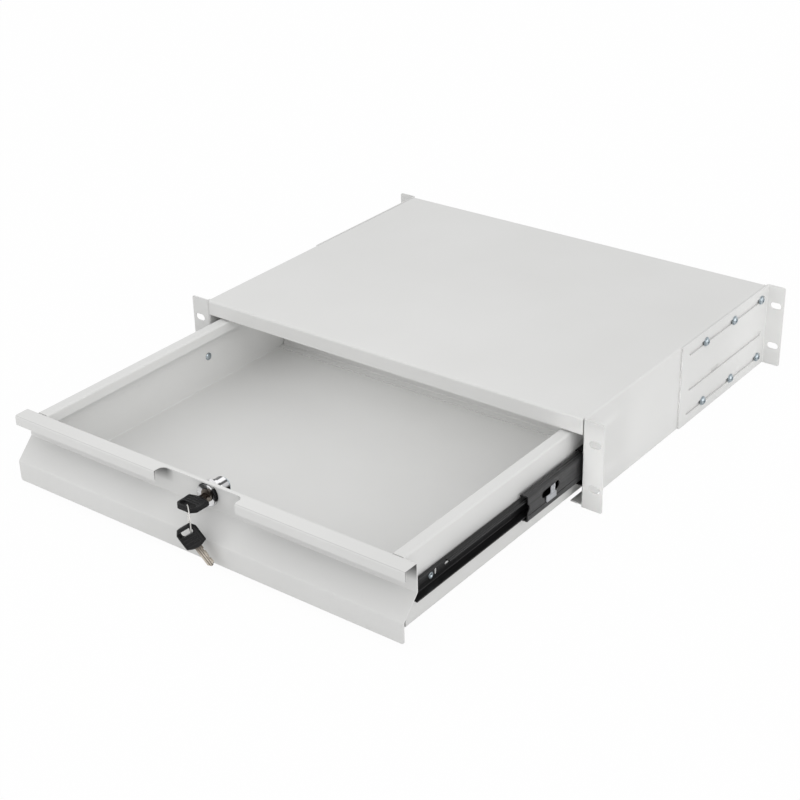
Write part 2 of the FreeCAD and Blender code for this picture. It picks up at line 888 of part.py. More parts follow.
def lock_cam():
    half = cam_width / 2
    path = [
        (cam_seat, lock_z + half),
        (cam_seat, lock_z - cam_crank_start),
        (cam_seat - cam_crank, lock_z - cam_crank_start - cam_crank / 3),
        (cam_seat - cam_crank, lock_z - cam_reach),
    ]
    cam = folded_sheet(
        path, cam_gauge, bend_radius, lambda u, v: point(lock_across - half, u, v), X * cam_width
    )

    def hub_corner(edge):
        return runs_along(edge, Y) and abs(edge.CenterOfMass.z - (lock_z + half)) < TINY

    def tip_corner(edge):
        return runs_along(edge, Y) and abs(edge.CenterOfMass.z - (lock_z - cam_reach)) < TINY

    cam = round_edges(cam, half - sliding_gap, hub_corner)
    cam = round_edges(cam, half / 2, tip_corner)
    return cam.cut(square_bar(tail_side + 2 * plug_clearance, cam_seat - OVERCUT, cam_gauge + 2 * OVERCUT))


def cam_screw():
    seat = cam_seat + cam_gauge
    head = shank(cam_screw_head_radius, point(lock_across, seat, lock_z), Y, cam_screw_head_height)
    head = crowned(head, Y, seat + cam_screw_head_height, cam_screw_head_height / 3)
    stem = shank(cam_screw_radius, point(lock_across, cam_seat + sliding_gap, lock_z), Y, cam_gauge)
    return joined([head, stem])


# Keys, drawn with the blade along +Y, the bow behind the origin and the slab's faces level
key_tip = bezel_front - blade_shown + blade_length


def key_bow():
    half = bow_width / 2
    cut = bow_corner_cut
    outline = [
        (-bow_tab_length / 2, 0),
        (bow_tab_length / 2, 0),
        (half, -bow_end_sag),
        (half, cut - bow_length),
        (half - cut, -bow_length),
        (cut - half, -bow_length),
        (-half, cut - bow_length),
        (-half, -bow_end_sag),
    ]
    low = -bow_thickness / 2
    bow = prism([point(x, y, low) for x, y in outline], Z * bow_thickness)
    rims = [edge for edge in bow.Edges if not runs_along(edge, Z)]
    bow = bow.makeChamfer(bow_edge_cut, rims)
    slot_centre = point(0, ring_slot_inset - bow_length, 0)
    slot = obround(slot_centre, X, Z, ring_slot_length, ring_slot_width, bow_thickness * 2)
    socket = block(
        -blade_width / 2, blade_width / 2, -blade_in_bow, OVERCUT, -blade_thickness / 2, blade_thickness / 2
    )
    return bow.cut([slot, socket])


def key_blade():
    half = blade_width / 2
    tip = half / 2
    outline = [
        (-half, -blade_in_bow),
        (half, -blade_in_bow),
        (half, blade_length - tip),
        (half - tip, blade_length),
        (tip - half, blade_length),
        (-half, blade_length - tip),
    ]
    low = -blade_thickness / 2
    return prism([point(x, y, low) for x, y in outline], Z * blade_thickness)


def placed(shape, across, along, origin):
    """Puts a key in place: its own X runs across, its own Y runs along the blade."""
    thick = across.cross(along)
    matrix = FreeCAD.Matrix(
        across.x, along.x, thick.x, origin.x,
        across.y, along.y, thick.y, origin.y,
        across.z, along.z, thick.z, origin.z,
        0, 0, 0, 1,
    )
    turned = shape.copy()
    turned.Placement = FreeCAD.Placement(matrix)
    return turned


# The key ring hangs on the front corner of the first key's bow, the spare key on the ring
bow_y = bezel_front - blade_shown
ring_turn = math.radians(ring_turn_deg)
ring_way = point(math.cos(ring_turn), math.sin(ring_turn), 0)
ring_side = point(-math.sin(ring_turn), math.cos(ring_turn), 0)
ring_centre = point(
    lock_across + ring_from_key,
    bow_y - bow_length + ring_from_end,
    lock_z + bow_thickness / 2 + ring_rise - ring_radius + ring_wire_radius,
)
spare_turn = math.radians(spare_turn_deg)
spare_tilt = math.radians(spare_tilt_deg)
spare_level = point(math.cos(spare_turn), math.sin(spare_turn), 0)
spare_along = spare_level * math.sin(spare_tilt) - Z * math.cos(spare_tilt)
spare_across = spare_level * math.cos(spare_tilt) + Z * math.sin(spare_tilt)
hang_point = ring_centre - Z * ring_radius
wire_in_slot = ring_slot_inset - bow_length - ring_slot_width / 2 + ring_wire_radius + spare_rise
spare_origin = hang_point - spare_across * spare_slot_end - spare_along * wire_in_slot


def key_ring():
    """A ring of wire with a many-sided section."""
    outward = ring_side.cross(Z)
    outward.normalize()
    section = []
    for step in range(wire_sides):
        angle = 2 * math.pi * (step + 0.5) / wire_sides
        across = ring_radius + ring_wire_radius * math.cos(angle)
        section.append(ring_centre + outward * across + ring_side * (ring_wire_radius * math.sin(angle)))
    return prism_end(section).revolve(ring_centre, ring_side, 360)


housing_slide_y = slide_setback
middle_slide_y = slide_setback - middle_travel
drawer_slide_y = slide_setback - drawer_opening
outer_cage_y = outer_cage_place - middle_travel / 2
inner_cage_y = inner_cage_place - (middle_travel + drawer_opening) / 2
outer_row = (slide_height / 2 - slide_gauge + middle_member_height / 2) / 2
inner_row = (middle_member_height / 2 - slide_gauge + drawer_member_height / 2) / 2
outer_cage_web = wall_inside - slide_gauge - cage_play
inner_cage_web = wall_inside - middle_member_inset - slide_gauge - cage_play
outer_row_values = (outer_ball_inset, outer_row, outer_balls_in_row)
inner_row_values = (inner_ball_inset, inner_row, inner_balls_in_row)

export("housing_cover", housing_cover())
export_pair("rear_bracket", [rear_bracket()])
export_pair("bracket_screws", [bracket_screw(y, z) for y, z in bracket_screw_points()])
export_pair("bracket_press_nuts", [press_nut(y, z) for y, z in bracket_screw_points()])
export_pair("slide_housing_member", [housing_member(housing_slide_y)])
export_pair("slide_middle_member", [middle_member(middle_slide_y)])
export_pair("slide_catch", [slide_catch(middle_slide_y)])
export_pair("slide_drawer_member", [drawer_member(drawer_slide_y)])
export_pair("outer_ball_cage", [ball_cage(*outer_row_values, outer_cage_web, outer_cage_y)])
export_pair("inner_ball_cage", [ball_cage(*inner_row_values, inner_cage_web, inner_cage_y)])
export_pair("outer_balls", balls(*outer_row_values, outer_cage_y))
export_pair("inner_balls", balls(*inner_row_values, inner_cage_y))
rivets = [slide_rivet(drawer_slide_y + place) for place in (slide_rivet_front, slide_rivet_rear)]
export("drawer_slide_rivets", *rivets, *[mirrored(rivet) for rivet in rivets])
export("drawer_tray", drawer_tray())
export("tray_rear_wall", tray_rear_wall())
export("front_panel", front_panel())
export("lock_barrel", lock_barrel())
export("lock_nut", lock_nut())
export("lock_plug", lock_plug())
export("lock_cam", lock_cam())
export("cam_screw", cam_screw())
lock_point = point(lock_across, bow_y, lock_z)
export("key_one_bow", placed(key_bow(), X, Y, lock_point))
export("key_one_blade", placed(key_blade(), X, Y, lock_point))
export("key_ring", key_ring())
export("key_two_bow", placed(key_bow(), spare_across, spare_along, spare_origin))
export("key_two_blade", placed(key_blade(), spare_across, spare_along, spare_origin))
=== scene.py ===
"""Looks of a sliding rack drawer: finishes, small hardware, camera and studio light.

Every new piece is a surface computed with numpy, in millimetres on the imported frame's axes.
"""

import math

import bpy
import numpy as np
from mathutils import Matrix, Vector


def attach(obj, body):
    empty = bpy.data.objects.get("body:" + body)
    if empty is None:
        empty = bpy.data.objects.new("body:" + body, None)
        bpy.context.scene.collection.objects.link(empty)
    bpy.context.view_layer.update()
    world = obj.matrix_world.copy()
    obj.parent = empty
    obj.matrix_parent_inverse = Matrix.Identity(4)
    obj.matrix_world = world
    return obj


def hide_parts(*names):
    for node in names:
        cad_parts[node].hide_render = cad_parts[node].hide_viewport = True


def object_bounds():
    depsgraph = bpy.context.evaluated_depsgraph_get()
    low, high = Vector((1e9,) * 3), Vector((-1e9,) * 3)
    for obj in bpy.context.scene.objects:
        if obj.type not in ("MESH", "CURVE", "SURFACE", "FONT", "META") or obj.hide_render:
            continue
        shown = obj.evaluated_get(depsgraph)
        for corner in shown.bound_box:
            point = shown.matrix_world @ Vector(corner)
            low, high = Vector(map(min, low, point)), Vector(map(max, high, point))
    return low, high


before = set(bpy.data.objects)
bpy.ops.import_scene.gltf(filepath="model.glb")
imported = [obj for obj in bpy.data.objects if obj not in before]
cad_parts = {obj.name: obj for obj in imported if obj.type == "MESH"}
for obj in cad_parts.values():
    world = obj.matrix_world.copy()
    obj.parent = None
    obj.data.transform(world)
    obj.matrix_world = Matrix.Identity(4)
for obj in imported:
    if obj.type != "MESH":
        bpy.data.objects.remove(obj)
cad_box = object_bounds()
MM = 0.001

# Values of the part, in millimetres: X to the right, Y to the rear of the front ears, Z up
hands = ((-1, "left"), (1, "right"))
across_x = np.array((1.0, 0.0, 0.0))
along_y = np.array((0.0, 1.0, 0.0))
upward = np.array((0.0, 0.0, 1.0))

# Lock
lock_across = 2.5
lock_height = 13.45
lock_axis = np.array((lock_across, 0.0, lock_height))
panel_front = -242.4
bezel_front = -246.0
bezel_radius = 11.0
bezel_lip = 9.8
bezel_edge = 0.4
bezel_step = 0.25
rim_stretch = 1.1
plug_bore = 6.05
dish_bottom = -244.8
dish_rim = 0.15
dish_curve = 1.6
dish_foot = 0.05
barrel_radius = 9.5
barrel_flat = 8.2
barrel_flats_end = -233.4
barrel_rear = -223.9
barrel_bevel = 0.9
thread_pitch = 1.0
thread_depth = 0.3

# Painted shade in the hollow under the front panel's ledge: outer and middle edges in depth, height
# and from X = 0
hollow_depth = (-257.2, -256.4, -242.3, -242.1)
hollow_height = (10.0, 22.0, 25.6, 26.2)
hollow_start = (38.0, 46.0)
hollow_shade_share = 0.9

# Slides and brackets
slide_height = -6.85
painted_from = 220.3
paint_edge = 0.1
bracket_face = 222.7
screw_places = [(y, z) for z in (-31.8, 31.8) for y in (218.0, 276.0, 334.0)]
rivet_crown = 204.3
rivet_places = [(y, slide_height) for y in (-209.5, -21.0)]
rivet_dimple = 4.0
ball_radius = 1.85
ball_pitch = 22.0
outer_ball_places = [
    (213.8, 63.5 + ball_pitch * step, slide_height + side * 14.5)
    for side in (-1, 1) for step in range(4)
]
inner_ball_places = [
    (213.3, -7.5 + ball_pitch * step, slide_height + side * 9.7)
    for side in (-1, 1) for step in range(3)
]

# Screws: each outline is a list of radius and place along the axis, from the head's edge inward
screw_head = 3.9
screw_head_height = 3.0
screw_outline = [
    (3.9, 0.8), (4.5, 0.8), (4.6, 0.7), (4.6, 0.0), (2.0, 0.0), (2.0, -7.5), (1.6, -8.0),
]
cam_face = -222.0
cam_screw_head = 3.8
cam_screw_head_height = 2.4
cam_screw_outline = [(3.8, 0.0), (1.5, 0.0), (1.5, -1.7)]
rivet_outline = [
    (0.9, 0.02), (1.9, 0.12), (2.8, 0.36), (3.5, 0.75), (3.85, 1.15), (4.0, 1.6), (2.0, 1.6),
    (2.0, 4.0), (3.0, 4.0), (3.0, 4.55), (2.8, 4.7), (1.5, 4.7), (1.3, 4.6), (0.7, 4.05),
]

# Cross recess as shares of the head's radius: half width and reach of an arm, and depths
recess_floor = (0.12, 0.4)
recess_mouth = (0.17, 0.5)
recess_depth = 0.32
recess_tip = 0.34
dome_drop = 0.5

# Key bows, in the key's own frame: the slot's centre and grooves are measured from the blade's root
bow_half_width = 11.5
bow_length = 21.6
bow_half_thickness = 2.5
bow_bevel = 1.4
bow_bevel_depth = 0.9
bow_top_half = 4.3
bow_shoulder = 2.4
bow_corner_cut = 4.6
bow_corner_power = 40
slot_half_length = 8.6
slot_half_width = 2.5
slot_centre = -15.8
slot_rim_height = 0.25
slot_rim_edges = (0.7, 1.1)
slot_rounding = 0.6
groove_places = (-11.2, -7.9, -4.6)
groove_half_length = 8.6
groove_depth = 0.5
groove_fade = 0.5
groove_sides = (0.7, 1.2)

# Key blades
blade_half_width = 3.5
blade_half_thickness = 0.95
blade_start = -9.0
blade_end = 19.6
blade_tip = 2.6
blade_tip_half = 0.6
cut_start = 3.0
cut_end = 16.0
cut_pitch = 2.6
cut_depth = 1.3
cut_turn = 2.3
blade_groove_top = -0.9
blade_groove_under = 1.0
blade_groove_half = 0.55
blade_groove_depth = 0.4
blade_groove_end = 17.0
# Painted shade along the blade's two grooves, as edges across the blade
groove_shade_edges = ((-1.55, -1.2, -0.75, -0.4), (0.5, 0.85, 1.3, 1.65))

# Key ring, and how the spare key hangs from it
ring_radius = 11.4
wire_radius = 0.55
ring_centre = np.array((7.3, -272.3, 6.1))
ring_turn = math.radians(-40.0)
spare_turn = math.radians(14.0)
spare_tilt = math.radians(38.0)
spare_slot_end = 4.2
spare_wire_place = -15.92

# Where the two keys lie: across the blade, along it, and the place where it meets the bow
spare_level = np.array((math.cos(spare_turn), math.sin(spare_turn), 0.0))
spare_along = spare_level * math.sin(spare_tilt) - upward * math.cos(spare_tilt)
spare_across = spare_level * math.cos(spare_tilt) + upward * math.sin(spare_tilt)
hang_point = ring_centre - upward * ring_radius
spare_root = hang_point - spare_across * spare_slot_end - spare_along * spare_wire_place
key_frames = {
    "one": (across_x, along_y, np.array((lock_across, -251.5, lock_height))),
    "two": (spare_across, spare_along, spare_root),
}

# Degrees round the lock, counted from its left side under it, and the grey of the chrome's painted
# reflection there
bezel_painted_reflection = [
    (4, 0.62), (18, 0.55), (24, 0.16), (86, 0.14), (97, 0.75), (158, 0.75), (168, 0.02),
    (226, 0.02), (234, 0.9), (254, 0.9), (262, 0.12), (290, 0.04), (314, 0.06), (324, 0.55),
    (340, 0.7), (356, 0.62),
]
# Painted reflection on the barrel behind the panel, in the same way
rear_painted_reflection = [
    (4, 0.5), (90, 0.2), (150, 0.03), (190, 0.03), (200, 0.5), (221, 0.6), (227, 0.1),
    (236, 0.1), (242, 0.95), (262, 0.95), (270, 0.1), (300, 0.2), (318, 0.25), (330, 0.6),
    (356, 0.5),
]

# Base colours
powder_grey = ((0.665, 0.665, 0.655), (0.69, 0.69, 0.682))
# Painted shade for the hollow under the front panel's ledge
painted_hollow_shade = (0.06, 0.06, 0.06)
tab_paint = (0.6, 0.6, 0.59)
slide_dark = ((0.012, 0.012, 0.012), (0.03, 0.03, 0.031))
middle_member_tint = 2.2
zinc_blue = ((0.32, 0.37, 0.40), (0.56, 0.62, 0.66))
cage_grey = ((0.42, 0.43, 0.45), (0.62, 0.63, 0.66))
chrome_grey = ((0.72, 0.72, 0.73), (0.86, 0.86, 0.87))
plastic_black = ((0.002, 0.002, 0.002), (0.009, 0.009, 0.01))
blade_nickel = ((0.54, 0.48, 0.41), (0.80, 0.73, 0.64))
# Nickel of the lock's plug, darkened as painted shade in the lock's bore
plug_nickel_painted_shade = ((0.10, 0.09, 0.08), (0.24, 0.21, 0.18))
ring_nickel = ((0.55, 0.54, 0.52), (0.75, 0.74, 0.72))
# Painted dark reflection of the black bow on the key blades
blade_painted_reflection = (0.07, 0.055, 0.045)
# Painted shade in the blade's grooves
painted_groove_shade = (0.13, 0.11, 0.095)
stage_grey = (0.86, 0.86, 0.86)
stage_patch = 0.985
stage_glow = 0.97


# Materials
def link(material, source, target):
    material.node_tree.links.new(source, target)


def new_material(name):
    """A node material with a Principled shader on its output, and the object's coordinates."""
    material = bpy.data.materials.new(name)
    material.use_nodes = True
    nodes = material.node_tree.nodes
    nodes.clear()
    output = nodes.new("ShaderNodeOutputMaterial")
    shader = nodes.new("ShaderNodeBsdfPrincipled")
    link(material, shader.outputs["BSDF"], output.inputs["Surface"])
    coordinates = nodes.new("ShaderNodeTexCoord")
    return material, shader, coordinates.outputs["Object"]


def stretched(material, vector, scale):
    """The coordinates multiplied by a scale for each axis."""
    mapping = material.node_tree.nodes.new("ShaderNodeMapping")
    mapping.inputs["Scale"].default_value = scale
    link(material, vector, mapping.inputs["Vector"])
    return mapping.outputs["Vector"]


def noise(material, vector, scale, detail=2.0, roughness=0.5):
    texture = material.node_tree.nodes.new("ShaderNodeTexNoise")
    texture.inputs["Scale"].default_value = scale
    texture.inputs["Detail"].default_value = detail
    texture.inputs["Roughness"].default_value = roughness
    link(material, vector, texture.inputs["Vector"])
    return texture.outputs["Fac"]


def ramp(material, value, low, high, from_low=0.3, from_high=0.7):
    """A value spread between two numbers."""
    spread = material.node_tree.nodes.new("ShaderNodeMapRange")
    spread.inputs["From Min"].default_value = from_low
    spread.inputs["From Max"].default_value = from_high
    spread.inputs["To Min"].default_value = low
    spread.inputs["To Max"].default_value = high
    link(material, value, spread.inputs["Value"])
    return spread.outputs["Result"]


def mixed(material, factor, first, second):
    """A colour between two, each of them fixed or from a node."""
    mix = material.node_tree.nodes.new("ShaderNodeMix")
    mix.data_type = "RGBA"
    link(material, factor, mix.inputs["Factor"])
    for colour, target in ((first, mix.inputs["A"]), (second, mix.inputs["B"])):
        if isinstance(colour, tuple):
            target.default_value = (*colour, 1.0)
        else:
            link(material, colour, target)
    return mix.outputs["Result"]


def colours(material, value, pair):
    """A colour between the two of a pair, led by a value."""
    return mixed(material, ramp(material, value, 0.0, 1.0), *pair)


def calculated(material, operation, *values):
    """One operation on values, each of them a fixed number or from a node."""
    node = material.node_tree.nodes.new("ShaderNodeMath")
    node.operation = operation
    for value, target in zip(values, node.inputs):
        if isinstance(value, float):
            target.default_value = value
        else:
            link(material, value, target)
    return node.outputs[0]


def within(material, value, edges):
    """One between the two middle edges, fading to nought at the outer ones."""
    rise = ramp(material, value, 0.0, 1.0, edges[0] * MM, edges[1] * MM)
    fall = ramp(material, value, 1.0, 0.0, edges[2] * MM, edges[3] * MM)
    return calculated(material, "MULTIPLY", rise, fall)


def parts_of(material, vector):
    """The three coordinates, each by itself."""
    split = material.node_tree.nodes.new("ShaderNodeSeparateXYZ")
    link(material, vector, split.inputs["Vector"])
    return split.outputs["X"], split.outputs["Y"], split.outputs["Z"]


def tinted_where(material, shader, mask, colour):
    """Mixes a colour over the shader's base colour where the mask says."""
    below = shader.inputs["Base Color"].links[0].from_socket
    link(material, mixed(material, mask, below, colour), shader.inputs["Base Color"])


def bump(material, shader, value, strength, distance):
    node = material.node_tree.nodes.new("ShaderNodeBump")
    node.inputs["Strength"].default_value = strength
    node.inputs["Distance"].default_value = distance
    link(material, value, node.inputs["Height"])
    link(material, node.outputs["Normal"], shader.inputs["Normal"])


def powder(name):
    """Light grey baked powder: a fine orange peel, faint cloudiness, satin sheen."""
    material, shader, place = new_material(name)
    cloud = noise(material, place, scale=9.0, detail=3.0)
    link(material, colours(material, cloud, powder_grey), shader.inputs["Base Color"])
    peel = noise(material, place, scale=1500.0)
    link(material, ramp(material, cloud, 0.42, 0.48), shader.inputs["Roughness"])
    shader.inputs["Specular IOR Level"].default_value = 0.35
    bump(material, shader, peel, strength=0.12, distance=0.00005)
    return material, shader, place


def panel_coat():
    """The same powder with painted shade: dark in the hollow under the front panel's ledge."""
    material, shader, place = powder("powder_coat_front_panel")
    sideways, depth, height = parts_of(material, place)
    across = calculated(material, "ABSOLUTE", sideways)
    depth_share = within(material, depth, hollow_depth)
    height_share = within(material, height, hollow_height)
    hollow = calculated(material, "MULTIPLY", depth_share, height_share)
    start, full = hollow_start
    beside_lock = ramp(material, across, 0.0, hollow_shade_share, start * MM, full * MM)
    hollow = calculated(material, "MULTIPLY", hollow, beside_lock)
    # Painted shade: dark grey mixed into the coat where the ledge's hollow lies in shade
    tinted_where(material, shader, hollow, painted_hollow_shade)
    return material


def streaked_metal(
    name, pair, roughness, streaks=(1, 1, 1), metallic=1.0, fine=900.0, peel=0.1,
):
    """Metal with streaks along one axis, in colour and bump, and blotches of roughness."""
    material, shader, place = new_material(name)
    streak = noise(material, stretched(material, place, streaks), fine, detail=4.0, roughness=0.6)
    blotch = noise(material, place, scale=60.0, detail=3.0)
    link(material, colours(material, streak, pair), shader.inputs["Base Color"])
    link(material, ramp(material, blotch, *roughness), shader.inputs["Roughness"])
    shader.inputs["Metallic"].default_value = metallic
    bump(material, shader, streak, peel, distance=0.00003)
    return material


def dark_steel(name, tint=1.0):
    """Black zinc-plated steel of the slides: drawn along the runners, dark, semi-gloss."""
    pair = [tuple(level * tint for level in colour) for colour in slide_dark]
    return streaked_metal(name, pair, (0.32, 0.42), streaks=(1, 0.02, 1), metallic=0.5)


def housing_slide_steel():
    """Slide steel inside, light paint on the tabs that show through the side walls."""
    material, shader, place = new_material("housing_slide_steel")
    across = calculated(material, "ABSOLUTE", parts_of(material, place)[0])
    drawn = stretched(material, place, (1, 0.02, 1))
    streak = noise(material, drawn, scale=0.5, detail=4.0, roughness=0.6)
    link(material, colours(material, streak, slide_dark), shader.inputs["Base Color"])
    paint_start, paint_full = painted_from * MM, (painted_from + paint_edge) * MM
    outside = ramp(material, across, 0.0, 1.0, paint_start, paint_full)
    tinted_where(material, shader, outside, tab_paint)
    link(material, ramp(material, outside, 1.0, 0.0, 0.0, 1.0), shader.inputs["Metallic"])
    link(material, ramp(material, streak, 0.34, 0.44), shader.inputs["Roughness"])
    return material


def chrome(name):
    """Smooth bright plating with a trace of wear."""
    return streaked_metal(name, chrome_grey, (0.08, 0.18), fine=500.0, peel=0.02)


def painted_reflection_levels(material, turn, stops):
    """Grey levels of a painted reflection round the lock, from a list of degrees and levels."""
    fan = material.node_tree.nodes.new("ShaderNodeValToRGB")
    for degrees, level in stops:
        stop = fan.color_ramp.elements.new(degrees / 360.0)
        stop.color = (level, level, level * 1.01, 1)
    # The node's own black stop goes, its white one at a full turn stays
    fan.color_ramp.elements.remove(fan.color_ramp.elements[0])
    link(material, turn, fan.inputs["Fac"])
    return fan.outputs["Color"]


def chrome_painted_reflections():
    """Chrome turned on a lathe, with painted reflections: the angle round the lock's axis sets
    bright and dark fans in its colour.
    """
    material, shader, place = new_material("chrome_painted_reflections")
    centred = material.node_tree.nodes.new("ShaderNodeMapping")
    centred.inputs["Location"].default_value = (-lock_across * MM, 0, -lock_height * MM)
    link(material, place, centred.inputs["Vector"])
    sideways, depth, height = parts_of(material, centred.outputs["Vector"])
    angle = calculated(material, "ARCTAN2", height, sideways)
    turn = ramp(material, angle, 0.0, 1.0, -math.pi, math.pi)
    behind_panel = ramp(material, depth, 0.0, 1.0, panel_front * MM, (panel_front + 1.0) * MM)
    # Painted reflections: one fan of greys on the bezel and one on the barrel behind the panel
    front, rear = (painted_reflection_levels(material, turn, stops) for stops in (bezel_painted_reflection, rear_painted_reflection))
    link(material, mixed(material, behind_panel, front, rear), shader.inputs["Base Color"])
    grain = noise(material, place, scale=1200.0)
    link(material, ramp(material, grain, 0.10, 0.2), shader.inputs["Roughness"])
    shader.inputs["Metallic"].default_value = 1.0
    return material


def key_plastic():
    """Black moulded plastic with a fine spark-eroded grain."""
    material, shader, place = new_material("black_moulded_plastic")
    grain = noise(material, place, scale=2200.0, detail=3.0)
    link(material, colours(material, grain, plastic_black), shader.inputs["Base Color"])
    link(material, ramp(material, grain, 0.3, 0.42), shader.inputs["Roughness"])
    shader.inputs["Specular IOR Level"].default_value = 0.22
    bump(material, shader, grain, strength=0.25, distance=0.00004)
    return material


def placed_along(material, place, axis, origin):
    """How far a point lies from the origin along an axis."""
    length = material.node_tree.nodes.new("ShaderNodeVectorMath")
    length.operation = "DOT_PRODUCT"
    link(material, place, length.inputs[0])
    length.inputs[1].default_value = tuple(axis)
    return calculated(material, "SUBTRACT", length.outputs["Value"], float(origin @ axis) * MM)


def key_metal(name, frame_of_key, painted_reflection_part):
    """Nickel silver with fine lengthwise scratches, painted shade in its two grooves.

    A painted dark reflection of the black bow lies on one part of its length: how dark at the start
    and end, then where both lie.
    """
    material, shader, place = new_material(name)
    across, along, origin = frame_of_key
    drawn = stretched(material, place, (1, 0.2, 1))
    scratch = noise(material, drawn, scale=1500.0, detail=4.0, roughness=0.6)
    blotch = noise(material, place, scale=300.0, detail=3.0)
    link(material, colours(material, scratch, blade_nickel), shader.inputs["Base Color"])
    # Painted dark reflection of the bow over part of the blade
    dark_start, dark_end, start, end = painted_reflection_part
    onward = placed_along(material, place, along, origin)
    mask = ramp(material, onward, dark_start, dark_end, start * MM, end * MM)
    tinted_where(material, shader, mask, blade_painted_reflection)
    sideways = placed_along(material, place, across, origin)
    # Painted shade darkens the two grooves
    for edges in groove_shade_edges:
        tinted_where(material, shader, within(material, sideways, edges), painted_groove_shade)
    link(material, ramp(material, blotch, 0.24, 0.4), shader.inputs["Roughness"])
    shader.inputs["Metallic"].default_value = 1.0
    bump(material, shader, scratch, strength=0.15, distance=0.00003)
    return material


def stage_material(name):
    """A pale matte surface that the camera sees nearly white, its shadow left faintly in."""
    material, shader, place = new_material(name)
    nodes = material.node_tree.nodes
    patch = noise(material, place, scale=2.0)
    pair = (stage_grey, tuple(level * stage_patch for level in stage_grey))
    link(material, colours(material, patch, pair), shader.inputs["Base Color"])
    shader.inputs["Roughness"].default_value = 0.9
    shader.inputs["Specular IOR Level"].default_value = 0.1
    white = nodes.new("ShaderNodeEmission")
    white.inputs["Color"].default_value = (1, 1, 1, 1)
    white.inputs["Strength"].default_value = 1.0
    rays = nodes.new("ShaderNodeLightPath")
    share = calculated(material, "MULTIPLY", rays.outputs["Is Camera Ray"], stage_glow)
    mix = nodes.new("ShaderNodeMixShader")
    link(material, share, mix.inputs["Fac"])
    link(material, shader.outputs["BSDF"], mix.inputs[1])
    link(material, white.outputs["Emission"], mix.inputs[2])
    output = next(node for node in nodes if node.type == "OUTPUT_MATERIAL")
    link(material, mix.outputs["Shader"], output.inputs["Surface"])
    return material


coat = powder("powder_coat_light_grey")[0]
coat_on_panel = panel_coat()
slide_tabbed = housing_slide_steel()
slide_grey = dark_steel("grey_plated_steel", middle_member_tint)
slide_black = dark_steel("black_plated_steel")
bright_zinc = streaked_metal("bright_zinc", zinc_blue, (0.24, 0.36), fine=700.0)
cage_zinc = streaked_metal("drawn_zinc", cage_grey, (0.3, 0.42), streaks=(1, 0.04, 1), fine=500.0)
ball_chrome = chrome("polished_ball_steel")
lock_chrome = chrome("bright_chrome")
lock_chrome_painted_reflections = chrome_painted_reflections()
plastic = key_plastic()
# Painted dark reflection of the bow on each blade: key one all along from its root, key two fading
# out by 8 mm
blade_metals = {
    "one": key_metal("nickel_key_metal_one", key_frames["one"], (0.0, 1.0, -1.5, 0.0)),
    "two": key_metal("nickel_key_metal_two", key_frames["two"], (0.75, 0.0, 1.0, 8.0)),
}
# The plug's nickel, darkened as painted shade
plug_metal_painted_shade = streaked_metal("nickel_plug_painted_shade", plug_nickel_painted_shade, (0.25, 0.4))
ring_metal = streaked_metal("nickel_ring_wire", ring_nickel, (0.16, 0.28))

node_materials = {
    "housing_cover": coat,
    "drawer_tray": coat,
    "tray_rear_wall": coat,
    "front_panel": coat_on_panel,
    "drawer_slide_rivets": bright_zinc,
    "lock_barrel": lock_chrome_painted_reflections,
    "lock_nut": lock_chrome,
    "lock_plug": plug_metal_painted_shade,
    "lock_cam": bright_zinc,
    "cam_screw": bright_zinc,
    "key_one_blade": blade_metals["one"],
    "key_two_blade": blade_metals["two"],
    "key_one_bow": plastic,
    "key_two_bow": plastic,
    "key_ring": ring_metal,
}
paired_materials = {
    "rear_bracket": coat,
    "bracket_screws": bright_zinc,
    "bracket_press_nuts": bright_zinc,
    "slide_housing_member": slide_tabbed,
    "slide_middle_member": slide_grey,
    "slide_drawer_member": slide_black,
    "slide_catch": cage_zinc,
    "outer_ball_cage": cage_zinc,
    "inner_ball_cage": cage_zinc,
    "outer_balls": ball_chrome,
    "inner_balls": ball_chrome,
}
for _, hand in hands:
    for node_name, material in paired_materials.items():
        node_materials[node_name + "_" + hand] = material
for node_name, material in node_materials.items():
    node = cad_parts[node_name]
    node.data.materials.clear()
    node.data.materials.append(material)
    for polygon in node.data.polygons:
        polygon.material_index = 0


# Surfaces: every piece is a closed shell through rings of points, in millimetres
def outward(points, quads, fans):
    """The faces, turned over if the volume they enclose comes out negative."""
    a, b, c, d = (points[quads[:, corner]] for corner in range(4))
    volume = np.einsum("ij,ij->", a, np.cross(b, c)) + np.einsum("ij,ij->", a, np.cross(c, d))
    if len(fans):
        e, f, g = (points[fans[:, corner]] for corner in range(3))
        volume += np.einsum("ij,ij->", e, np.cross(f, g))
    if volume < 0:
        quads, fans = quads[:, ::-1], fans[:, ::-1]
    return quads, fans


def shell(rings, poles=None):
    """Quads between rings[row, column] and the next row and column, columns wrapping round.

    With two poles the first and last ring are closed by fans; without them rows wrap round too.
    """
    rows, columns = rings.shape[:2]
    points = rings.reshape(-1, 3)
    row = np.arange(rows - 1 if poles is not None else rows)[:, None] * columns
    next_row = (row + columns) % (rows * columns)
    column = np.arange(columns)[None, :]
    beside = (column + 1) % columns
    corners = (row + column, row + beside, next_row + beside, next_row + column)
    quads = np.stack(np.broadcast_arrays(*corners), -1).reshape(-1, 4)
    fans = np.zeros((0, 3), dtype=int)
    if poles is not None:
        first, last = rows * columns, rows * columns + 1
        points = np.vstack((points, poles))
        around, after = np.arange(columns), (np.arange(columns) + 1) % columns
        front = np.stack((after, around, np.full(columns, first)), -1)
        start = (rows - 1) * columns
        back = np.stack((start + around, start + after, np.full(columns, last)), -1)
        fans = np.vstack((front, back))
    quads, fans = outward(points, quads, fans)
    return points, quads, fans


